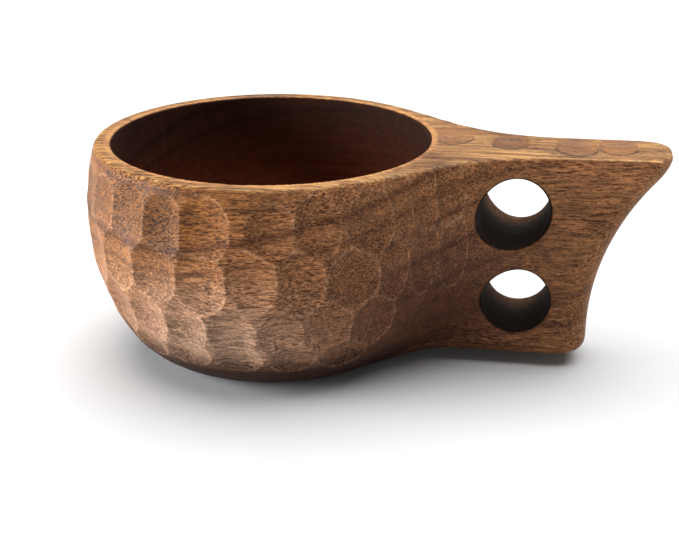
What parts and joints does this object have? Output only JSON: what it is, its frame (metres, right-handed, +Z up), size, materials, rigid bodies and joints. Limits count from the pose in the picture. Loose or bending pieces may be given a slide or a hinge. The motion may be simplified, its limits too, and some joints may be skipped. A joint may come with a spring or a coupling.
{
  "type": "kuksa cup",
  "caption": "Round wooden drinking cup carved in one piece with a flat upright handle, finger holes through the handle and a concave sweep up to its tip.",
  "frame": {"origin": "middle of the flat base, on the bowl's own axis, on the surface that the cup stands on", "axes": "+Z up through the mouth of the bowl, +X from the bowl towards the tip of the handle, +Y completes a right-handed frame; the cup is symmetric about the XZ plane"},
  "size_m": [0.1717, 0.1098, 0.0648],
  "materials": {
    "oiled_wood": "satin oil"
  },
  "bodies": {
    "root": {"cup_body": "oiled_wood"}
  },
  "joints": []
}
